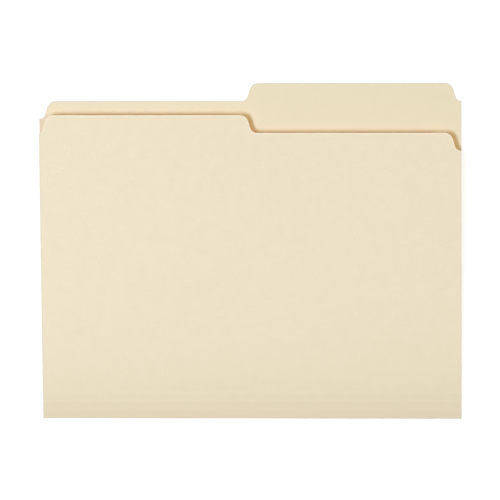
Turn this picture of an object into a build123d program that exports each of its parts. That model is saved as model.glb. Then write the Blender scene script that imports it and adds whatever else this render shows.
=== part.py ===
from build123d import *
from math import cos, radians, sin, tan
import os

os.makedirs("parts", exist_ok=True)

# Board and overall sizes
SHEET = 0.28  # thickness of the manila board
WIDTH = 298.45  # left to right, the same for both panels
BACK_BODY = 228.6  # fold to the top of the back panel beside the tab
FRONT_TALL = 219.4  # fold to the top of the front panel's tall half
STEP = 12.7  # height of the tab, of the front's step and of every shoulder

# Shape of the die-cut steps
STEP_ANGLE = 73.0  # steepness of each step
STEP_TOP_R = 6.2  # round curve at the head of a step
MID_LOW_R = 5.0  # hollow curve at the foot of a middle step
SIDE_LOW_R = 4.0  # hollow curve at the foot of a shoulder at the side
FRONT_LEFT_LOW_R = 2.6  # tighter foot of the front's left shoulder
MID_STEP_X = -0.6  # the two middle steps lie a little left of centre
BACK_FLAT = 0.25  # level run between a side edge and the foot of a back shoulder
FRONT_LEFT_FLAT = 0.15  # the same at the front's left shoulder
FRONT_RIGHT_FLAT = 0.65  # the same at the front's right shoulder

# Bottom fold and scores
FOLD_R = 0.35  # radius of the bead along the bottom fold
SCORE_PITCH = 6.35  # fold to first score, and score to score
SCORE_R = 0.20  # radius of the bead along a score
RUN_CLEAR = 0.05  # running gap between a bead and the leaf that turns on it

# The front leaf stands a little open at rest and bows outward
REST_SLOPE = 3.0  # degrees, at the fold
BOW_RADIUS = 3600.0

# Derived heights, measured from the fold's outer edge
tab_top = BACK_BODY + STEP
back_low = BACK_BODY - STEP
front_mid = FRONT_TALL - STEP
front_low = FRONT_TALL - 2 * STEP

# The bounding box is centred on the origin, with the back panel lying on Z = 0
edge_y = -tab_top / 2
axis_y = edge_y + FOLD_R
half_run = STEP / tan(radians(STEP_ANGLE)) / 2
side_reach = SIDE_LOW_R * tan(radians(STEP_ANGLE) / 2)
left_reach = FRONT_LEFT_LOW_R * tan(radians(STEP_ANGLE) / 2)
half_width = WIDTH / 2
back_in = half_width - BACK_FLAT - side_reach - half_run
front_left_in = half_width - FRONT_LEFT_FLAT - left_reach - half_run
front_right_in = half_width - FRONT_RIGHT_FLAT - side_reach - half_run

# Leaves in front of the fold lie in a plane that starts at the fold's axis and slopes up
leaf_plane = Plane(
    origin=(0, axis_y, FOLD_R),
    x_dir=(0, cos(radians(REST_SLOPE)), sin(radians(REST_SLOPE))),
    z_dir=(1, 0, 0),
)
leaf_mid = FOLD_R - SHEET / 2
leaf_start = FOLD_R + RUN_CLEAR


# Section of one strip: a thin leaf with a round bead at its far edge, hollowed to turn on the bead before it
def strip_section(start, bead_at):
    with Locations(((start + bead_at) / 2, leaf_mid)):
        Rectangle(bead_at - start, SHEET)
    with Locations((bead_at, leaf_mid)):
        Circle(SCORE_R)


# Back panel with its tab
with BuildPart() as back_panel:
    with BuildSketch(Plane.XY) as back_outline:
        with BuildLine():
            back_top = FilletPolyline(
                (half_width, edge_y + BACK_BODY),
                (back_in + half_run, edge_y + BACK_BODY),
                (back_in - half_run, edge_y + tab_top),
                (MID_STEP_X + half_run, edge_y + tab_top),
                (MID_STEP_X - half_run, edge_y + BACK_BODY),
                (-back_in + half_run, edge_y + BACK_BODY),
                (-back_in - half_run, edge_y + back_low),
                (-half_width, edge_y + back_low),
                radius=(SIDE_LOW_R, STEP_TOP_R, STEP_TOP_R, MID_LOW_R, STEP_TOP_R, SIDE_LOW_R),
            )
            Polyline(
                back_top @ 1,
                (-half_width, axis_y + leaf_start),
                (half_width, axis_y + leaf_start),
                back_top @ 0,
            )
        make_face()
    extrude(amount=SHEET)
back_panel.part.label = "back_panel"
export_step(back_panel.part, "parts/back_panel.step")

# Rounded bead along the bottom fold
with BuildPart() as fold_bead:
    with BuildSketch(leaf_plane):
        Circle(FOLD_R)
    extrude(amount=half_width, both=True)
fold_bead.part.label = "fold_bead"
export_step(fold_bead.part, "parts/fold_bead.step")

# Three narrow leaves between the fold and the scores
with BuildPart() as gusset_strip_1:
    with BuildSketch(leaf_plane):
        strip_section(leaf_start, SCORE_PITCH)
    extrude(amount=half_width, both=True)
gusset_strip_1.part.label = "gusset_strip_1"
export_step(gusset_strip_1.part, "parts/gusset_strip_1.step")

with BuildPart() as gusset_strip_2:
    with BuildSketch(leaf_plane):
        strip_section(SCORE_PITCH, 2 * SCORE_PITCH)
        with Locations((SCORE_PITCH, leaf_mid)):
            Circle(SCORE_R + RUN_CLEAR, mode=Mode.SUBTRACT)
    extrude(amount=half_width, both=True)
gusset_strip_2.part.label = "gusset_strip_2"
export_step(gusset_strip_2.part, "parts/gusset_strip_2.step")

with BuildPart() as gusset_strip_3:
    with BuildSketch(leaf_plane):
        strip_section(2 * SCORE_PITCH, 3 * SCORE_PITCH)
        with Locations((2 * SCORE_PITCH, leaf_mid)):
            Circle(SCORE_R + RUN_CLEAR, mode=Mode.SUBTRACT)
    extrude(amount=half_width, both=True)
gusset_strip_3.part.label = "gusset_strip_3"
export_step(gusset_strip_3.part, "parts/gusset_strip_3.step")

# Front panel: a bowed leaf that starts at the third score, cut to its outline
bow_start = 3 * SCORE_PITCH
bow_reach = FRONT_TALL + STEP - bow_start
bow_centre = leaf_mid - BOW_RADIUS
outer_r = BOW_RADIUS + SHEET / 2
inner_r = BOW_RADIUS - SHEET / 2
bow_end = bow_reach / BOW_RADIUS
with BuildPart() as front_panel:
    with BuildSketch(leaf_plane):
        with BuildLine():
            outer_arc = ThreePointArc(
                (bow_start, bow_centre + outer_r),
                (bow_start + outer_r * sin(bow_end / 2), bow_centre + outer_r * cos(bow_end / 2)),
                (bow_start + outer_r * sin(bow_end), bow_centre + outer_r * cos(bow_end)),
            )
            inner_arc = ThreePointArc(
                (bow_start, bow_centre + inner_r),
                (bow_start + inner_r * sin(bow_end / 2), bow_centre + inner_r * cos(bow_end / 2)),
                (bow_start + inner_r * sin(bow_end), bow_centre + inner_r * cos(bow_end)),
            )
            Line(outer_arc @ 0, inner_arc @ 0)
            Line(outer_arc @ 1, inner_arc @ 1)
        make_face()
        with Locations((bow_start, leaf_mid)):
            Circle(SCORE_R + RUN_CLEAR, mode=Mode.SUBTRACT)
    extrude(amount=half_width, both=True)
    with BuildSketch(Plane.XY) as front_outline:
        with BuildLine():
            front_top = FilletPolyline(
                (half_width, edge_y + front_low),
                (front_right_in + half_run, edge_y + front_low),
                (front_right_in - half_run, edge_y + front_mid),
                (MID_STEP_X + half_run, edge_y + front_mid),
                (MID_STEP_X - half_run, edge_y + FRONT_TALL),
                (-front_left_in + half_run, edge_y + FRONT_TALL),
                (-front_left_in - half_run, edge_y + front_mid),
                (-half_width, edge_y + front_mid),
                radius=(SIDE_LOW_R, STEP_TOP_R, MID_LOW_R, STEP_TOP_R, STEP_TOP_R, FRONT_LEFT_LOW_R),
            )
            Polyline(
                front_top @ 1,
                (-half_width, edge_y),
                (half_width, edge_y),
                front_top @ 0,
            )
        make_face()
    extrude(amount=FRONT_TALL, mode=Mode.INTERSECT)
front_panel.part.label = "front_panel"
export_step(front_panel.part, "parts/front_panel.step")
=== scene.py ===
# %% [markdown]
# # A manila folder, folded from one flat sheet
# The real folder is a single die-cut sheet of manila board, 0.28 mm thick, creased once across its
# bottom. It could be drawn as two panels laid on each other, but then nothing would join them at the
# fold. So each leaf of the sheet starts flat, as the die cuts it, and a rule folds it into place.
# The measured model is loaded first, as a fixed frame. Its bodies are the leaves of the sheet: the back
# panel, three narrow strips above the bottom fold, and the front panel. Everything below is drawn in that
# frame, in metres.

# %% Load the frame
from functools import partial
from math import cos, pi, radians, sin, tan

import bmesh
import bpy
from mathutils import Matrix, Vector


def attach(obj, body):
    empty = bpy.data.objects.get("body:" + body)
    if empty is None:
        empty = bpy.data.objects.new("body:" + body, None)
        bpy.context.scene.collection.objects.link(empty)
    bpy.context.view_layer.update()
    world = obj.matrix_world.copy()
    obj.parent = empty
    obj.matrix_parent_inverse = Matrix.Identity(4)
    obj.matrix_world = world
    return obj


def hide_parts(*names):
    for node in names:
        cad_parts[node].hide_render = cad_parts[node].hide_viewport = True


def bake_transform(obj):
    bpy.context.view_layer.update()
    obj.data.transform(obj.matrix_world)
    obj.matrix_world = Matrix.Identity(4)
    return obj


MM = 0.001
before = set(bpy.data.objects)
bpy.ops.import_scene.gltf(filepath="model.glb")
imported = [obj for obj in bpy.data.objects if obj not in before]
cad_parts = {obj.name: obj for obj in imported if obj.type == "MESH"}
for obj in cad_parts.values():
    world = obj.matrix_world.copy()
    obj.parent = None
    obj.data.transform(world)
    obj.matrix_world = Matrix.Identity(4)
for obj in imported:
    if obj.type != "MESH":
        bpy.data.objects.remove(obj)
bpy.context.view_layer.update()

# %% [markdown]
# ## Sizes
# A letter-size folder is 11 3/4 inches wide and 9 1/2 inches tall with its tab. The other heights were
# measured in the photograph against those two. The board's thickness is the usual one, and the fold's
# radius is a guess that suits it. The solids use the same values. Some could be read back from the boxes
# of the solids, but a box tells no radius and no step, so they are written here once, in metres.

# %% Sizes of the sheet
BOARD = 0.28 * MM
HALF_WIDTH = 149.225 * MM
TAB_TOP = 241.3 * MM
BACK_BODY = 228.6 * MM
FRONT_TALL = 219.4 * MM
STEP = 12.7 * MM
FOLD_R = 0.35 * MM
FOLD_EDGE_Y = -TAB_TOP / 2
FOLD_Y = FOLD_EDGE_Y + FOLD_R
bend_radius = FOLD_R - BOARD / 2
blank_length = TAB_TOP + FRONT_TALL - 2 * FOLD_R + pi * bend_radius
print("flat blank in mm:", round(2 * HALF_WIDTH / MM, 2), "x", round(blank_length / MM, 1))

# %% [markdown]
# ## Camera
# The photograph looks down from far away with a long lens, leaning some ten degrees towards the tab. A
# camera could be placed by eye, but a flat sheet shows every degree of tilt in its edges. So the camera's
# place and focal length come from fitting the folder's straight edges, and the render frames the folder
# as the photograph does.

# %% Camera over the folder
CAMERA_PLACE = (170.356 * MM, 656.960 * MM, 3826.795 * MM)
CAMERA_TURN = (-0.169872, 0.043466, -0.007058)
SENSOR_WIDTH_MM = 36.0
FOCAL_LENGTH_MM = 394.447
camera_data = bpy.data.cameras.new("overhead_camera")
camera_data.sensor_width = SENSOR_WIDTH_MM
camera_data.lens = FOCAL_LENGTH_MM
camera = bpy.data.objects.new("overhead_camera", camera_data)
camera.location = CAMERA_PLACE
camera.rotation_euler = CAMERA_TURN
bpy.context.scene.collection.objects.link(camera)
bpy.context.scene.camera = camera
print("camera height, mm:", round(camera.location.z / MM))

# %% [markdown]
# ## Node helpers
# Blender's node editor shows a tree as boxes and wires. In code it is easier to read when one short call
# makes a node, sets its values and links its inputs. A value that is a socket is linked, and anything
# else is written into the input. The other calls stand for the nodes that come up most: a sum, a range
# mapped to another range, a vector taken apart, and a group with named sockets.

# %% Short calls for nodes
def add_node(tree, kind, inputs=None, **settings):
    made = tree.nodes.new(kind)
    for key, value in settings.items():
        setattr(made, key, value)
    for key, value in (inputs or {}).items():
        if isinstance(value, bpy.types.NodeSocket):
            tree.links.new(value, made.inputs[key])
        else:
            made.inputs[key].default_value = value
    return made


def calc(tree, operation, *values, clamp=False):
    made = add_node(tree, "ShaderNodeMath", dict(enumerate(values)), operation=operation, use_clamp=clamp)
    return made.outputs[0]


def mapped(tree, value, low, high, to_low=0.0, to_high=1.0):
    ends = {"From Min": low, "From Max": high, "To Min": to_low, "To Max": to_high}
    return add_node(tree, "ShaderNodeMapRange", {"Value": value, **ends}).outputs[0]


def apart(tree, vector):
    return add_node(tree, "ShaderNodeSeparateXYZ", {0: vector}).outputs


# %% A node group with named sockets
def group_tree(name, kind, inputs, outputs):
    tree = bpy.data.node_groups.new(name, kind)
    for label, socket_type, value in inputs:
        socket = tree.interface.new_socket(label, in_out="INPUT", socket_type=socket_type)
        if value is not None:
            socket.default_value = value
    for label, socket_type in outputs:
        tree.interface.new_socket(label, in_out="OUTPUT", socket_type=socket_type)
    return tree, tree.nodes.new("NodeGroupInput").outputs, tree.nodes.new("NodeGroupOutput").inputs


print("node helpers ready")

# %% [markdown]
# ## What manila board looks like
# Manila board is pressed from wood pulp. Held to the eye it shows three things at different scales: soft
# clouds where the pulp settled thicker or thinner, short fibres lying in every direction, and now and
# then a brown fleck of bark. A scanned picture could show them too, but it would blur up close and repeat
# from afar, while noise in nodes holds at every distance. Each is its own node group, so the faces and
# the cut edges can share them with different values. A scale counts features per metre, because the
# folder is drawn in metres.

# %% Clouds in the pulp
CLOUD_SCALE = 140.0
FINE_CLOUD = 5.3
WIDE_SHARE, FINE_SHARE = 0.45, 0.55
CLOUD_LOW, CLOUD_HIGH = 0.36, 0.64
cloud_tree, given, result = group_tree(
    "pulp_clouds",
    "ShaderNodeTree",
    [("Vector", "NodeSocketVector", None), ("Size", "NodeSocketFloat", CLOUD_SCALE)],
    [("Cloud", "NodeSocketFloat")],
)
maths = partial(calc, cloud_tree)
spot = given["Vector"]
wide_puffs = {"Vector": spot, "Scale": given["Size"], "Detail": 3.0}
wide = maths("MULTIPLY", add_node(cloud_tree, "ShaderNodeTexNoise", wide_puffs).outputs[0], WIDE_SHARE)
fine_puffs = {"Vector": spot, "Scale": maths("MULTIPLY", given["Size"], FINE_CLOUD), "Detail": 4.0}
fine = maths("MULTIPLY", add_node(cloud_tree, "ShaderNodeTexNoise", fine_puffs).outputs[0], FINE_SHARE)
cloudy = mapped(cloud_tree, maths("ADD", wide, fine), CLOUD_LOW, CLOUD_HIGH)
cloud_tree.links.new(cloudy, result["Cloud"])
print(cloud_tree.name, len(cloud_tree.nodes), "nodes")

# %% [markdown]
# Fibres could be thousands of little curves, but that is heavy for what the eye takes as a faint tooth.
# Here a fibre is a noise stretched ten times longer one way, and only its peaks are kept. Three layers,
# turned against each other, lie across one another as fibres do on the wire of a paper machine.

# %% Fibres lying in every direction
FIBRE_TURNS = (12.0, 73.0, 131.0)
FIBRE_SCALE = (420.0, 4200.0, 900.0)
FIBRE_LOW, FIBRE_HIGH = 0.60, 0.74
fibre_tree, given, result = group_tree(
    "pulp_fibres",
    "ShaderNodeTree",
    [("Vector", "NodeSocketVector", None), ("Turn", "NodeSocketFloat", 0.0)],
    [("Fibre", "NodeSocketFloat")],
)
strands = 0.0
for degrees in FIBRE_TURNS:
    turn = calc(fibre_tree, "ADD", given["Turn"], radians(degrees))
    spin = add_node(fibre_tree, "ShaderNodeCombineXYZ", {"Z": turn}).outputs[0]
    lay = {"Vector": given["Vector"], "Rotation": spin, "Scale": FIBRE_SCALE}
    laid = add_node(fibre_tree, "ShaderNodeMapping", lay).outputs[0]
    crumple = {"Vector": laid, "Scale": 1.0, "Detail": 1.0, "Distortion": 0.6}
    noise = add_node(fibre_tree, "ShaderNodeTexNoise", crumple).outputs[0]
    strands = calc(fibre_tree, "MAXIMUM", strands, mapped(fibre_tree, noise, FIBRE_LOW, FIBRE_HIGH))
fibre_tree.links.new(strands, result["Fibre"])
print(fibre_tree.name, len(fibre_tree.nodes), "nodes")

# %% [markdown]
# Flecks lie in the board and not on it, so they are painted, not scattered as pieces. They are rare and
# small, so they come from cells. A share of the cells is picked by its random colour, and each picked
# cell holds one dot of its own size.

# %% Bark flecks
FLECKS_PER_METRE = 300.0
FLECK_SHARE = 0.1
FLECK_LEAST, FLECK_SPREAD = 0.03, 0.07
FLECK_SHARPNESS = 60.0
fleck_tree, given, result = group_tree(
    "bark_flecks",
    "ShaderNodeTree",
    [
        ("Vector", "NodeSocketVector", None),
        ("Density", "NodeSocketFloat", FLECKS_PER_METRE),
        ("Share", "NodeSocketFloat", FLECK_SHARE),
    ],
    [("Fleck", "NodeSocketFloat")],
)
maths = partial(calc, fleck_tree)
layout = {"Vector": given["Vector"], "Scale": given["Density"]}
cells = add_node(fleck_tree, "ShaderNodeTexVoronoi", layout).outputs
pick = add_node(fleck_tree, "ShaderNodeSeparateColor", {"Color": cells["Color"]}).outputs
picked = maths("LESS_THAN", pick[0], given["Share"])
size = maths("MULTIPLY_ADD", pick[1], FLECK_SPREAD, FLECK_LEAST)
dot = maths("MULTIPLY", maths("SUBTRACT", size, cells["Distance"]), FLECK_SHARPNESS, clamp=True)
fleck_tree.links.new(maths("MULTIPLY", dot, picked), result["Fleck"])
print(fleck_tree.name, len(fleck_tree.nodes), "nodes")

# %% [markdown]
# ## Layers of colour
# A finish is a base colour with thin layers over it, each with a mask and a strength. One colour ramp
# could hold a few of them, but not layers with masks of their own. So short calls start a material, place
# a node group in it, and lay one layer over what is below.

# %% Lay one colour over another
def new_material(name):
    material = bpy.data.materials.new(name)
    material.use_nodes = True
    return material, material.node_tree, material.node_tree.nodes["Principled BSDF"]


def use_group(tree, group, **values):
    coords = add_node(tree, "ShaderNodeTexCoord").outputs["Object"]
    return add_node(tree, "ShaderNodeGroup", {"Vector": coords, **values}, node_tree=group).outputs[0]


def tinted(tree, below, mask, amount, colour):
    share = calc(tree, "MULTIPLY", mask, amount)
    lower = below if isinstance(below, bpy.types.NodeSocket) else (*below, 1.0)
    layers = {"Factor": share, 6: lower, 7: (*colour, 1.0)}
    return add_node(tree, "ShaderNodeMix", layers, data_type="RGBA").outputs[2]


print("layers ready")

# %% [markdown]
# ## Light through the board
# Thin board is not quite opaque. Close behind it a shadow is warm, because some red and yellow light
# comes through the pulp. Further off that light has spread out, and is weaker and less warm. Scattering
# inside so thin a sheet would be slow to render and noisy. So the board is solid to every ray except a
# shadow ray, which passes with a tint. A shadow ray crosses both faces of a sheet, so the tint counts
# twice.

# %% Warm light for shadow rays
CLOSE_GLOW = (0.51, 0.33, 0.06)
FAR_GLOW = (0.30, 0.25, 0.14)
CLOSE_BEHIND, FAR_BEHIND = 8 * MM, 60 * MM


def let_through(tree, solid):
    path = add_node(tree, "ShaderNodeLightPath").outputs
    spread = mapped(tree, path["Ray Length"], CLOSE_BEHIND, FAR_BEHIND)
    glow = tinted(tree, CLOSE_GLOW, spread, 1.0, FAR_GLOW)
    through = add_node(tree, "ShaderNodeBsdfTransparent", {"Color": glow}).outputs[0]
    either = {0: path["Is Shadow Ray"], 1: solid.outputs[0], 2: through}
    mixed = add_node(tree, "ShaderNodeMixShader", either).outputs[0]
    tree.links.new(mixed, tree.nodes["Material Output"].inputs["Surface"])


print("through one sheet, close by:", [round(part * part, 2) for part in CLOSE_GLOW])

# %% [markdown]
# ## Face of the board
# The faces are calendered, so they are matt but smooth, with a faint tooth. Their tints could be painted
# on by hand. Here masks for them are written on the mesh as attributes when a leaf is cut and folded, so
# that they follow the leaf wherever it goes:
# - `crease`: along the fold and the scores the surface fibres are stretched open and look a little pale
# - fold shade: towards the bottom fold the board is painted darker and warmer, a painted shade
# - `inner`: the side that faces the papers, a trace yellower
# - `rim`: full on the die line and gone a millimetre inside it. On the outside this strip is painted
#   pale, a painted highlight along the cut. On the inside, as along the two sides of the folder, the
#   strip is painted darker and greyer.

# %% Masks of the face
# width of the darker, greyer band along the two sides of the folder
SIDE_BAND = 1.2 * MM
RIM_GAIN = 2.0
DARK_FIBRE_TURN = 0.55
manila_face, face_nodes, face_shader = new_material("manila_face")
maths = partial(calc, face_nodes)


def attribute(name):
    return add_node(face_nodes, "ShaderNodeAttribute", attribute_name=name).outputs["Fac"]


cloud = use_group(face_nodes, cloud_tree)
pale_fibre = use_group(face_nodes, fibre_tree)
dark_fibre = use_group(face_nodes, fibre_tree, Turn=DARK_FIBRE_TURN)
fleck = use_group(face_nodes, fleck_tree)
inner = attribute("inner")
near_cut = maths("MULTIPLY", attribute("rim"), RIM_GAIN, clamp=True)
# painted highlight: a pale strip along the cut edge of the outer face
painted_rim_highlight = maths("MULTIPLY", near_cut, maths("SUBTRACT", 1.0, inner))
coords = add_node(face_nodes, "ShaderNodeTexCoord").outputs["Object"]
from_middle = maths("ABSOLUTE", apart(face_nodes, coords)[0])
# darker, greyer band along the two sides and along the die line of the inner side
side_band = mapped(face_nodes, from_middle, HALF_WIDTH - SIDE_BAND, HALF_WIDTH)
grey_edge_band = maths("MAXIMUM", side_band, maths("MULTIPLY", near_cut, inner))
print("masks on", manila_face.name)

# %% Colour of the face
THIN_PULP = (0.848, 0.751, 0.564)
face_layers = [
    (cloud, 1.00, (0.876, 0.779, 0.594)),
    (pale_fibre, 0.30, (0.920, 0.850, 0.690)),
    (dark_fibre, 0.18, (0.720, 0.600, 0.400)),
    (fleck, 0.50, (0.450, 0.310, 0.160)),
    # painted shade: darker and warmer towards the bottom fold
    (attribute("painted_fold_shade"), 0.81, (0.720, 0.615, 0.440)),
    (attribute("crease"), 0.10, (0.900, 0.830, 0.670)),
    (inner, 0.52, (0.836, 0.729, 0.512)),
    # painted highlight along the cut edge of the outer face
    (painted_rim_highlight, 0.80, (0.960, 0.880, 0.700)),
    # darker and greyer along the two sides and the inner die line
    (grey_edge_band, 0.55, (0.700, 0.685, 0.600)),
]
colour = THIN_PULP
for mask, amount, layer_colour in face_layers:
    colour = tinted(face_nodes, colour, mask, amount, layer_colour)
face_nodes.links.new(colour, face_shader.inputs["Base Color"])
print(len(face_layers), "layers of colour")

# %% Tooth and sheen of the face
FIBRE_TOOTH, CLOUD_TOOTH = 0.6, 0.4
MATT, SMOOTH = 0.86, 0.76
tooth = maths("ADD", maths("MULTIPLY", pale_fibre, FIBRE_TOOTH), maths("MULTIPLY", cloud, CLOUD_TOOTH))
bump = add_node(face_nodes, "ShaderNodeBump", {"Height": tooth, "Strength": 0.35, "Distance": 0.02 * MM})
face_shader.inputs["Specular IOR Level"].default_value = 0.25
face_nodes.links.new(mapped(face_nodes, cloud, 0.0, 1.0, MATT, SMOOTH), face_shader.inputs["Roughness"])
face_nodes.links.new(bump.outputs[0], face_shader.inputs["Normal"])
let_through(face_nodes, face_shader)
print(manila_face.name, len(face_nodes.nodes), "nodes")

# %% [markdown]
# ## Cut edge of the board
# The die cuts through to the raw core of the board, which is paler and rougher than its faces. The edge
# could share the faces' finish, but a pale line along the cut is what tells thin board from a flat
# picture of it. So it gets its own, from the same clouds and fibres with other values: finer clouds, more
# fibre and a deeper bump.

# %% Raw cut edge
CORE_CLOUD_SCALE = 900.0
CORE_FIBRE_TURN = 0.2
CORE_DARK, CORE_PALE = (0.800, 0.715, 0.535), (0.880, 0.810, 0.640)
CORE_FIBRE, CORE_FIBRE_SHARE = (0.930, 0.880, 0.740), 0.4
manila_edge, edge_nodes, edge_shader = new_material("manila_cut_edge")
core_cloud = use_group(edge_nodes, cloud_tree, Size=CORE_CLOUD_SCALE)
core_fibre = use_group(edge_nodes, fibre_tree, Turn=CORE_FIBRE_TURN)
core = tinted(edge_nodes, CORE_DARK, core_cloud, 1.0, CORE_PALE)
core = tinted(edge_nodes, core, core_fibre, CORE_FIBRE_SHARE, CORE_FIBRE)
frayed = {"Height": core_cloud, "Strength": 0.5, "Distance": 0.03 * MM}
fuzz = add_node(edge_nodes, "ShaderNodeBump", frayed).outputs[0]
edge_shader.inputs["Roughness"].default_value = 0.95
edge_shader.inputs["Specular IOR Level"].default_value = 0.15
edge_nodes.links.new(core, edge_shader.inputs["Base Color"])
edge_nodes.links.new(fuzz, edge_shader.inputs["Normal"])
let_through(edge_nodes, edge_shader)
print(manila_edge.name, len(edge_nodes.nodes), "nodes")

# %% [markdown]
# ## The die line
# A steel rule die cuts the blank. Each step is a steep S: a hollow curve at its foot and a rounder one at
# its head. A Bezier curve could be bent by hand until it looks right, but its radii would not be known. A
# polyline with a radius at every corner gives the same line from a few sizes, sampled finely enough to
# look smooth up close.

# %% Rounded polyline
ARC_STEP = radians(3)


def rounded_line(corners):
    points = [Vector(corners[0])]
    for before, (x, y, radius), after in zip(corners, corners[1:], corners[2:]):
        at = Vector((x, y))
        come = (at - Vector(before[:2])).normalized()
        leave = (Vector(after[:2]) - at).normalized()
        turn = come.angle_signed(leave)
        reach = radius * tan(abs(turn) / 2)
        side = Vector((-come.y, come.x)) * (-1 if turn > 0 else 1)
        centre = at - come * reach + side * radius
        count = max(2, round(abs(turn) / ARC_STEP))
        for k in range(count + 1):
            angle = abs(turn) * k / count
            points.append(centre - side * radius * cos(angle) + come * radius * sin(angle))
    points.append(Vector(corners[-1]))
    return points


print("a rounded right angle has", len(rounded_line([(0, 0), (1, 0, 0.2), (1, 1)])), "points")

# %% [markdown]
# The feet of the steps differ a little, as the photograph shows. A flat is the short level run between a
# side of the folder and the foot of its shoulder.

# %% One step of the die line
STEP_ANGLE = radians(73)
HEAD_R = 6.2 * MM
MID_FOOT_R = 5.0 * MM
SIDE_FOOT_R = 4.0 * MM
FRONT_LEFT_FOOT_R = 2.6 * MM
MID_STEP_X = -0.6 * MM
BACK_FLAT = 0.25 * MM
FRONT_LEFT_FLAT = 0.15 * MM
FRONT_RIGHT_FLAT = 0.65 * MM
half_run = STEP / tan(STEP_ANGLE) / 2


def step_corners(x, low, high, rising, foot_r):
    foot = (x - half_run * rising, FOLD_EDGE_Y + low, foot_r)
    head = (x + half_run * rising, FOLD_EDGE_Y + high, HEAD_R)
    return (foot, head) if rising > 0 else (head, foot)


def shoulder_in(flat, foot_r):
    return HALF_WIDTH - flat - foot_r * tan(STEP_ANGLE / 2) - half_run


print("a step is", round(STEP / MM, 1), "mm high and", round(2 * half_run / MM, 1), "mm wide")

# %% Die lines of the back and the front
back_in = shoulder_in(BACK_FLAT, SIDE_FOOT_R)
back_line = rounded_line([
    (-HALF_WIDTH, FOLD_EDGE_Y + BACK_BODY - STEP),
    *step_corners(-back_in, BACK_BODY - STEP, BACK_BODY, 1, SIDE_FOOT_R),
    *step_corners(MID_STEP_X, BACK_BODY, TAB_TOP, 1, MID_FOOT_R),
    *step_corners(back_in, BACK_BODY, TAB_TOP, -1, SIDE_FOOT_R),
    (HALF_WIDTH, FOLD_EDGE_Y + BACK_BODY),
])
front_left_in = shoulder_in(FRONT_LEFT_FLAT, FRONT_LEFT_FOOT_R)
front_right_in = shoulder_in(FRONT_RIGHT_FLAT, SIDE_FOOT_R)
front_line = rounded_line([
    (-HALF_WIDTH, FOLD_EDGE_Y + FRONT_TALL - STEP),
    *step_corners(-front_left_in, FRONT_TALL - STEP, FRONT_TALL, 1, FRONT_LEFT_FOOT_R),
    *step_corners(MID_STEP_X, FRONT_TALL - STEP, FRONT_TALL, -1, MID_FOOT_R),
    *step_corners(front_right_in, FRONT_TALL - 2 * STEP, FRONT_TALL - STEP, -1, SIDE_FOOT_R),
    (HALF_WIDTH, FOLD_EDGE_Y + FRONT_TALL - 2 * STEP),
])
print("die line points:", len(back_line), "back,", len(front_line), "front")

# %% [markdown]
# ## Flat leaves
# Before folding, every leaf is one flat face inside the die line. It is sliced into rows and columns,
# because a surface can only bend where it has edges. A grid would have rows and columns from the start,
# but a ragged outline, and slicing keeps the outline exact. A second line just inside the die line bounds
# the rim that the die presses.

# %% Slices and rim
TOUCHING = 1e-8
COLUMN_GAP = 10 * MM


def slice_across(mesh, axis, places):
    normal = Vector((0.0, 0.0, 0.0))
    normal[axis] = 1.0
    for place in places:
        everything = mesh.verts[:] + mesh.edges[:] + mesh.faces[:]
        plane = {"plane_co": normal * place, "plane_no": normal}
        bmesh.ops.bisect_plane(mesh, geom=everything, dist=TOUCHING, **plane)


def evenly(start, end, gap):
    count = max(1, round((end - start) / gap))
    return [start + (end - start) * k / count for k in range(1, count)]


def inner_line(line, reach):
    made = [line[0] - Vector((0.0, reach))]
    for before, at, after in zip(line, line[1:], line[2:]):
        run = (after - before).normalized()
        made.append(at + Vector((run.y, -run.x)) * reach)
    return made + [line[-1] - Vector((0.0, reach))]


columns = evenly(-HALF_WIDTH, HALF_WIDTH, COLUMN_GAP)
print("slices across the width:", len(columns))

# %% A flat leaf
def flat_leaf(name, top_line, bottom, rows, rim=0.0):
    mesh = bmesh.new()
    pressed = mesh.verts.layers.float.new("rim")
    top = [mesh.verts.new((p.x, p.y, 0.0)) for p in top_line]
    if rim:
        inside = [mesh.verts.new((p.x, p.y, 0.0)) for p in inner_line(top_line, rim)]
        for vert in top:
            vert[pressed] = 1.0
        for quad in zip(inside, inside[1:], top[1:], top):
            mesh.faces.new(quad)
        top = inside
    low = [mesh.verts.new((side * HALF_WIDTH, bottom, 0.0)) for side in (-1, 1)]
    mesh.faces.new([*low, *reversed(top)])
    slice_across(mesh, 1, rows)
    slice_across(mesh, 0, columns)
    data = bpy.data.meshes.new(name)
    mesh.to_mesh(data)
    mesh.free()
    made = bpy.data.objects.new(name, data)
    bpy.context.scene.collection.objects.link(made)
    return made


def level_line(y):
    return [Vector((-HALF_WIDTH, y)), Vector((HALF_WIDTH, y))]


print("leaves can be cut")

# %% [markdown]
# ## Folding rule
# The folded sheet follows a rule, so Geometry Nodes do the folding. The first tree gives a flat leaf the
# thickness of the board, a little less where the die squeezed its rim. A Solidify modifier could do that,
# but here the same tree also tells the cut edges from the faces, for the trees that fold the leaf after
# it.

# %% Thickness of the board
RIM_SQUEEZE = 0.15
thick_tree, given, result = group_tree(
    "board_thickness",
    "GeometryNodeTree",
    [("Leaf", "NodeSocketGeometry", None), ("Board", "NodeSocketFloat", BOARD)],
    [("Slab", "NodeSocketGeometry"), ("Cut", "NodeSocketBool")],
)
maths = partial(calc, thick_tree)
straight_up = {"Offset": (0.0, 0.0, 1.0), "Offset Scale": given["Board"], "Individual": False}
lift = add_node(thick_tree, "GeometryNodeExtrudeMesh", {"Mesh": given["Leaf"], **straight_up}).outputs
under = add_node(thick_tree, "GeometryNodeFlipFaces", {"Mesh": given["Leaf"]}).outputs[0]
joined = add_node(thick_tree, "GeometryNodeJoinGeometry", {"Geometry": lift["Mesh"]})
thick_tree.links.new(under, joined.inputs[0])
weld = {"Geometry": joined.outputs[0], "Distance": TOUCHING}
closed = add_node(thick_tree, "GeometryNodeMergeByDistance", weld).outputs[0]
spot = apart(thick_tree, add_node(thick_tree, "GeometryNodeInputPosition").outputs[0])
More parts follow.
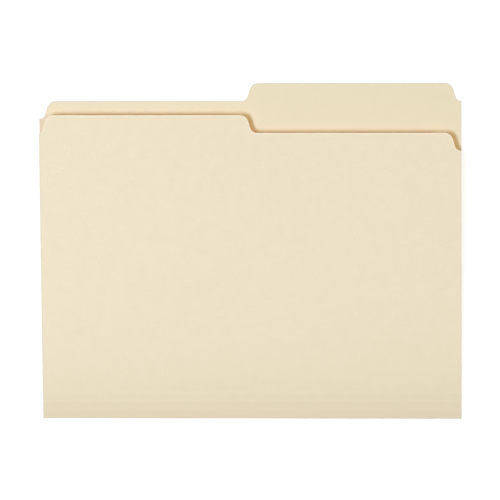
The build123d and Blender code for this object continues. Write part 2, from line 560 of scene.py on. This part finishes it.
rim = add_node(thick_tree, "GeometryNodeInputNamedAttribute", {"Name": "rim"}, data_type="FLOAT")
squeeze = maths("MULTIPLY_ADD", rim.outputs[0], -RIM_SQUEEZE, 1.0)
level = maths("MULTIPLY", maths("MULTIPLY_ADD", given["Board"], -0.5, spot[2]), squeeze)
place = add_node(thick_tree, "ShaderNodeCombineXYZ", {"X": spot[0], "Y": spot[1], "Z": level}).outputs[0]
slab = add_node(thick_tree, "GeometryNodeSetPosition", {"Geometry": closed, "Position": place}).outputs[0]
thick_tree.links.new(slab, result["Slab"])
thick_tree.links.new(lift["Side"], result["Cut"])
print(thick_tree.name, len(thick_tree.nodes), "nodes")

# %% [markdown]
# The two folding trees share their first and last steps: place the slab, read where its points are and
# which way its faces point, write a mask on it, and end by giving the faces and the cut edges their
# materials. Written once as short calls, both trees stay the same there.

# %% Steps that the folding trees share
def slab_of(tree, leaf):
    slab = add_node(tree, "GeometryNodeGroup", {"Leaf": leaf}, node_tree=thick_tree).outputs
    return slab["Slab"], slab["Cut"]


def points_of(tree):
    return apart(tree, add_node(tree, "GeometryNodeInputPosition").outputs[0])


def facing_up(tree):
    return apart(tree, add_node(tree, "GeometryNodeInputNormal").outputs[0])[2]


def marked(tree, shape, name, value, domain="POINT"):
    mask = {"Geometry": shape, "Name": name, "Value": value}
    made = add_node(tree, "GeometryNodeStoreNamedAttribute", mask, data_type="FLOAT", domain=domain)
    return made.outputs[0]


def end_tree(tree, result, shape, cut):
    whole = add_node(tree, "GeometryNodeRealizeInstances", {"Geometry": shape}).outputs[0]
    face = {"Geometry": whole, "Material": manila_face}
    faced = add_node(tree, "GeometryNodeSetMaterial", face).outputs[0]
    edge = {"Geometry": faced, "Selection": cut, "Material": manila_edge}
    tree.links.new(add_node(tree, "GeometryNodeSetMaterial", edge).outputs[0], result["Folded"])
    print(tree.name, len(tree.nodes), "nodes")


print("shared steps ready")

# %% [markdown]
# ## Rise of the front leaves
# The second tree raises a leaf. The front leaves the fold at a slope that eases off towards the free
# edge, as a creased sheet springs open and then sags. Each score is a low bead, pressed from inside. The
# board also waves by a hair, because no sheet of paper is quite flat. All this could be sculpted by hand,
# but a rule with named inputs can be set again for a folder that stands more or less open.

# %% Inputs of the rise
rise_tree, given, result = group_tree(
    "leaf_rise",
    "GeometryNodeTree",
    [
        ("Leaf", "NodeSocketGeometry", None),
        ("Start Y", "NodeSocketFloat", 0.0),
        ("Start Z", "NodeSocketFloat", BOARD / 2),
        ("Fold Slope", "NodeSocketFloat", 0.0),
        ("Edge Slope", "NodeSocketFloat", 0.0),
        ("Ease Length", "NodeSocketFloat", 40 * MM),
        ("Score Height", "NodeSocketFloat", 0.0),
        ("Score Width", "NodeSocketFloat", 0.8 * MM),
        ("Wave", "NodeSocketFloat", 0.0),
        ("Inner Up", "NodeSocketFloat", -1.0),
        ("Seed", "NodeSocketFloat", 3.0),
    ],
    [("Folded", "NodeSocketGeometry")],
)
maths = partial(calc, rise_tree)
slab, cut = slab_of(rise_tree, given["Leaf"])
spot = points_of(rise_tree)
along = maths("SUBTRACT", spot[1], given["Start Y"])
print(rise_tree.name, "starts with", len(rise_tree.nodes), "nodes")

# %% Slope that eases off
fade = maths("EXPONENT", maths("DIVIDE", maths("MULTIPLY", along, -1.0), given["Ease Length"]))
extra_slope = maths("SUBTRACT", given["Fold Slope"], given["Edge Slope"])
extra_height = maths("MULTIPLY", extra_slope, given["Ease Length"])
eased = maths("MULTIPLY", extra_height, maths("SUBTRACT", 1.0, fade))
slope_height = maths("ADD", eased, maths("MULTIPLY", along, given["Edge Slope"]))
print("with the slope:", len(rise_tree.nodes), "nodes")

# %% Beads along the scores
SCORE_PITCH = 6.35 * MM
SCORE_COUNT = 3.0
nearest = maths("ROUND", maths("DIVIDE", along, SCORE_PITCH))
nearest = maths("MINIMUM", maths("MAXIMUM", nearest, 1.0), SCORE_COUNT)
from_score = maths("SUBTRACT", along, maths("MULTIPLY", nearest, SCORE_PITCH))
off = maths("DIVIDE", from_score, given["Score Width"])
bead = maths("EXPONENT", maths("MULTIPLY", maths("MULTIPLY", off, off), -1.0))
bead_height = maths("MULTIPLY", bead, given["Score Height"])
scored = maths("GREATER_THAN", given["Score Height"], 0.0)
print("with the beads:", len(rise_tree.nodes), "nodes")

# %% Wave of the board
WAVES_PER_METRE = 9.0
FREE_PER_METRE = 12.0
SEED_STEP = 0.1
plan_z = maths("MULTIPLY", given["Seed"], SEED_STEP)
plan = add_node(rise_tree, "ShaderNodeCombineXYZ", {"X": spot[0], "Y": spot[1], "Z": plan_z}).outputs[0]
slow = {"Vector": plan, "Scale": WAVES_PER_METRE, "Detail": 1.0}
swell = add_node(rise_tree, "ShaderNodeTexNoise", slow).outputs[0]
up_and_down = maths("SUBTRACT", maths("MULTIPLY", swell, 2.0), 1.0)
free = maths("MULTIPLY", along, FREE_PER_METRE, clamp=True)
wave_height = maths("MULTIPLY", maths("MULTIPLY", up_and_down, free), given["Wave"])
print("with the wave:", len(rise_tree.nodes), "nodes")

# %% [markdown]
# The three heights are added up. The masks that the face material reads are written before the leaf is
# moved, while its faces still point straight up or down.

# %% Masks and place of the raised leaf
PAINTED_SHADE_REACH = 30 * MM
FACING = 0.5
height = maths("ADD", maths("ADD", slope_height, bead_height), wave_height)
shape = marked(rise_tree, slab, "crease", maths("MULTIPLY", bead, scored))
# painted shade: a mask that darkens the board towards the bottom fold and fades upwards
from_fold = maths("SUBTRACT", spot[1], FOLD_Y)
painted_fold_shade = maths("EXPONENT", maths("MULTIPLY", from_fold, -1 / PAINTED_SHADE_REACH))
shape = marked(rise_tree, shape, "painted_fold_shade", painted_fold_shade)
inward = maths("MULTIPLY", facing_up(rise_tree), given["Inner Up"])
shape = marked(rise_tree, shape, "inner", maths("GREATER_THAN", inward, FACING), "FACE")
up = add_node(rise_tree, "ShaderNodeCombineXYZ", {"Z": maths("ADD", height, given["Start Z"])}).outputs[0]
raised = add_node(rise_tree, "GeometryNodeSetPosition", {"Geometry": shape, "Offset": up}).outputs[0]
end_tree(rise_tree, result, raised, cut)

# %% [markdown]
# ## Bend of the bottom fold
# At the bottom the sheet turns back on itself round a small bend. A Simple Deform modifier could bend a
# strip, but it would write no masks. So the third tree rolls the strip: its Y runs from 0 to 1 and
# becomes the angle round the fold's axis, and its thickness becomes the distance from it.

# %% Roll a strip into the bend
bend_tree, given, result = group_tree(
    "fold_bend",
    "GeometryNodeTree",
    [
        ("Leaf", "NodeSocketGeometry", None),
        ("Axis Y", "NodeSocketFloat", FOLD_Y),
        ("Axis Z", "NodeSocketFloat", FOLD_R),
        ("Radius", "NodeSocketFloat", bend_radius),
        ("Turn", "NodeSocketFloat", pi),
    ],
    [("Folded", "NodeSocketGeometry")],
)
maths = partial(calc, bend_tree)
slab, cut = slab_of(bend_tree, given["Leaf"])
spot = points_of(bend_tree)
angle = maths("MULTIPLY", spot[1], given["Turn"])
reach = maths("ADD", given["Radius"], spot[2])
place_y = maths("SUBTRACT", given["Axis Y"], maths("MULTIPLY", reach, maths("SINE", angle)))
place_z = maths("SUBTRACT", given["Axis Z"], maths("MULTIPLY", reach, maths("COSINE", angle)))
place = add_node(bend_tree, "ShaderNodeCombineXYZ", {"X": spot[0], "Y": place_y, "Z": place_z}).outputs[0]
shape = marked(bend_tree, slab, "crease", maths("SINE", angle))
# painted shade: the whole bend lies in the full painted fold shade
shape = marked(bend_tree, shape, "painted_fold_shade", 1.0)
shape = marked(bend_tree, shape, "inner", maths("LESS_THAN", facing_up(bend_tree), -FACING), "FACE")
rolled = add_node(bend_tree, "GeometryNodeSetPosition", {"Geometry": shape, "Position": place}).outputs[0]
end_tree(bend_tree, result, rolled, cut)

# %% [markdown]
# ## Running a tree
# A modifier runs a tree on a flat leaf. Its inputs are set by socket identifier before anything is
# evaluated. The modifier could stay live, but a leaf has to be a plain mesh before it rides on a body or
# bends between two of them, so the result is kept and the modifier removed. Faces are shaded smooth, and
# only edges of more than 40 degrees stay sharp, so the cut edge is crisp.

# %% Run a tree on a flat leaf
SHARP_ANGLE = radians(40)


def folded(leaf, tree, **values):
    sockets = {item.name: item.identifier for item in tree.interface.items_tree if item.in_out == "INPUT"}
    rule = leaf.modifiers.new("fold", "NODES")
    rule.node_group = tree
    for label, value in values.items():
        rule[sockets[label.replace("_", " ")]] = value
    ready = leaf.evaluated_get(bpy.context.evaluated_depsgraph_get())
    mesh = bpy.data.meshes.new_from_object(ready)
    leaf.modifiers.remove(rule)
    leaf.data = mesh
    mesh.name = leaf.name
    mesh.shade_smooth()
    mesh.set_sharp_from_angle(angle=SHARP_ANGLE)
    spread = [[round(vert.co[k] / MM, 2) for vert in mesh.vertices] for k in range(3)]
    print(leaf.name, len(mesh.polygons), "faces, x y z in mm:", *[(min(row), max(row)) for row in spread])


# %% How this folder stands at rest
REST_SLOPE = radians(3.0)
FREE_EDGE_SLOPE = radians(0.57)
rise_y = FOLD_Y - bend_radius * sin(REST_SLOPE)
rise_z = FOLD_R + bend_radius * cos(REST_SLOPE)
rise = {
    "Start_Y": rise_y,
    "Start_Z": rise_z,
    "Fold_Slope": tan(REST_SLOPE),
    "Edge_Slope": tan(FREE_EDGE_SLOPE),
    "Ease_Length": 100 * MM,
    "Score_Height": 0.05 * MM,
    "Wave": 0.15 * MM,
}
print("front leaves leave the fold at y, z mm:", round(rise_y / MM, 3), round(rise_z / MM, 3))

# %% [markdown]
# ## Back panel
# The back panel lies flat on the desk, and the tab is cut in one with it. The solid in the frame has the
# same outline, but no pressed rim and no masks, so a leaf replaces it. That leaf gets thickness and no
# rise, and its inner side faces up.

# %% Back panel
RIM = 1.0 * MM
BACK_ROW_GAP = 10 * MM
back_rows = evenly(FOLD_Y, FOLD_EDGE_Y + TAB_TOP, BACK_ROW_GAP)
back_sheet = flat_leaf("back_sheet", back_line, FOLD_Y, back_rows, RIM)
folded(back_sheet, rise_tree, Start_Z=BOARD / 2, Inner_Up=1.0)
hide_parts("back_panel")
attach(back_sheet, "back_panel")

# %% [markdown]
# ## Bottom fold
# The bend belongs to both panels: its lower end meets the back and its upper end the front. If it rode
# on one body alone, the sheet would tear at the fold as it opens. Here it rides on no body: its place is
# baked into its mesh.

# %% Bottom fold
BEND_ROW_GAP = 0.05
fold_web = flat_leaf("fold_web", level_line(1.0), 0.0, evenly(0.0, 1.0, BEND_ROW_GAP))
folded(fold_web, bend_tree, Turn=pi - REST_SLOPE)
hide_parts("fold_bead")
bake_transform(fold_web)

# %% [markdown]
# ## Strips and scores
# Three scores are pressed across the front, parallel to the fold, so that the bottom can be folded out
# round a thick stack of papers. One long leaf could not bend at them, and bare strips would open gaps.
# So each strip between the scores is stiff and rides on its own body, and each scored line is a narrow
# web between its two neighbours, with its place baked into its mesh. The first strip starts a hair past
# the bend, so that it clears the back panel when the folder lies fully open.

# %% Strips and score webs
SCORE_REACH = 0.6 * MM
SEAM = 0.015 * MM
STRIP_ROW_GAP = 0.4 * MM
WEB_ROW_GAP = 0.06 * MM
FRONT_BODIES = ("gusset_strip_1", "gusset_strip_2", "gusset_strip_3", "front_panel")
strip_start = rise_y + SEAM
for k, (body, next_body) in enumerate(zip(FRONT_BODIES, FRONT_BODIES[1:]), 1):
    score_y = rise_y + k * SCORE_PITCH
    strip_end = score_y - SCORE_REACH
    web_end = score_y + SCORE_REACH
    strip_rows = evenly(strip_start, strip_end, STRIP_ROW_GAP)
    strip = flat_leaf(f"strip_leaf_{k}", level_line(strip_end), strip_start, strip_rows)
    folded(strip, rise_tree, **rise)
    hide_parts(body)
    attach(strip, body)
    web_rows = evenly(strip_end, web_end, WEB_ROW_GAP)
    web = flat_leaf(f"score_web_{k}", level_line(web_end), strip_end, web_rows)
    folded(web, rise_tree, **rise)
    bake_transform(web)
    strip_start = web_end

# %% [markdown]
# ## Front panel
# The front panel is the tall leaf that the hand lifts, and it bows gently away from the back panel. Rows
# of one height would do, but they would be many. So they are narrow only close to the third score, to
# carry the far side of its bead, and wide further up.

# %% Front panel
BEAD_REACH = 2 * MM
FRONT_ROW_GAP = 5 * MM
bead_end = strip_start + BEAD_REACH
front_top = FOLD_EDGE_Y + FRONT_TALL
bead_rows = evenly(strip_start, bead_end, STRIP_ROW_GAP)
front_rows = [*bead_rows, bead_end, *evenly(bead_end, front_top, FRONT_ROW_GAP)]
front_sheet = flat_leaf("front_sheet", front_line, strip_start, front_rows, RIM)
folded(front_sheet, rise_tree, **rise)
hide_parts("front_panel")
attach(front_sheet, "front_panel")

# %% [markdown]
# ## White desk
# The photograph is a studio shot on white. More light could turn the desk white, but it would bleach the
# folder first. So the desk adds a glow of its own to what is seen directly, or in a mirror or through
# glass, and none to what lights the folder. The glow is a little short of white near the folder, so that
# the folder's shadow stays on the desk.

# %% What is seen directly
def seen_directly(tree):
    path = add_node(tree, "ShaderNodeLightPath").outputs
    mirrored = calc(tree, "MAXIMUM", path["Is Glossy Ray"], path["Is Transmission Ray"])
    return calc(tree, "MAXIMUM", path["Is Camera Ray"], mirrored)


white_desk, desk_nodes, desk_shader = new_material("white_desk")
seen = seen_directly(desk_nodes)
print(white_desk.name, "asks what is seen, by", len(desk_nodes.nodes), "nodes")

# %% Finish of the desk
DESK_PAINT, SEEN_PAINT = 0.85, 0.22
NEAR_GLOW, FAR_DESK_GLOW = 0.825, 1.0
NEAR_RADIUS, FAR_RADIUS = 0.3, 0.9
paint = mapped(desk_nodes, seen, 0.0, 1.0, DESK_PAINT, SEEN_PAINT)
desk_spot = add_node(desk_nodes, "ShaderNodeTexCoord").outputs["Object"]
desk_reach = add_node(desk_nodes, "ShaderNodeVectorMath", {0: desk_spot}, operation="LENGTH")
glow = mapped(desk_nodes, desk_reach.outputs["Value"], NEAR_RADIUS, FAR_RADIUS, NEAR_GLOW, FAR_DESK_GLOW)
desk_shader.inputs["Roughness"].default_value = 0.9
desk_shader.inputs["Emission Color"].default_value = (1.0, 1.0, 1.0, 1.0)
desk_nodes.links.new(paint, desk_shader.inputs["Base Color"])
desk_nodes.links.new(calc(desk_nodes, "MULTIPLY", seen, glow), desk_shader.inputs["Emission Strength"])
print(white_desk.name, len(desk_nodes.nodes), "nodes")

# %% Top of the desk
DESK_HALF = 4.0
DESK_DROP = 0.05 * MM
quarters = ((-1, -1), (1, -1), (1, 1), (-1, 1))
desk_corners = [(x * DESK_HALF, y * DESK_HALF, -DESK_DROP) for x, y in quarters]
desk_mesh = bpy.data.meshes.new("desk")
desk_mesh.from_pydata(desk_corners, [], [(0, 1, 2, 3)])
desk_mesh.materials.append(white_desk)
desk = bpy.data.objects.new("desk", desk_mesh)
bpy.context.scene.collection.objects.link(desk)
print("desk", 2 * DESK_HALF, "m wide")

# %% [markdown]
# ## Studio light
# One broad soft light stands to the left and a little towards the fold. It draws the soft shadows along
# the right of every step. A weaker, warmer one far to the right and the pale walls of the room fill those
# shadows. Small lamps would be simpler, but their shadows would be hard, so both lights are wide areas.

# %% Two soft lights
def soft_box(name, spot, wide, tall, power, tint):
    data = bpy.data.lights.new(name, "AREA")
    data.color = tint
    data.shape = "RECTANGLE"
    data.size = wide
    data.size_y = tall
    data.energy = power
    made = bpy.data.objects.new(name, data)
    made.location = spot
    made.rotation_euler = (-Vector(spot)).to_track_quat("-Z", "Y").to_euler()
    bpy.context.scene.collection.objects.link(made)


key = {"spot": (-1.28, -0.20, 2.9), "wide": 1.6, "tall": 0.9, "power": 73.0, "tint": (0.965, 1.0, 1.14)}
side = {"spot": (5.2, 0.4, 4.4), "wide": 2.0, "tall": 2.0, "power": 132.0, "tint": (1.04, 1.0, 0.82)}
soft_box("key_softbox", **key)
soft_box("side_softbox", **side)
print("lights:", [item.name for item in bpy.data.lights])

# %% Walls of the room
WALL_LIGHT, SEEN_WALL = 0.17, 1.0
WALL_TINT, SEEN_TINT = (1.06, 1.0, 0.64), (1.0, 1.0, 1.0)
room = bpy.data.worlds.new("white_room")
room.use_nodes = True
bpy.context.scene.world = room
room_nodes = room.node_tree
room_seen = seen_directly(room_nodes)
walls = room_nodes.nodes["Background"].inputs
room_nodes.links.new(mapped(room_nodes, room_seen, 0.0, 1.0, WALL_LIGHT, SEEN_WALL), walls["Strength"])
room_nodes.links.new(tinted(room_nodes, WALL_TINT, room_seen, 1.0, SEEN_TINT), walls["Color"])
bpy.context.scene.view_settings.view_transform = "Standard"
print(room.name, len(room_nodes.nodes), "nodes")
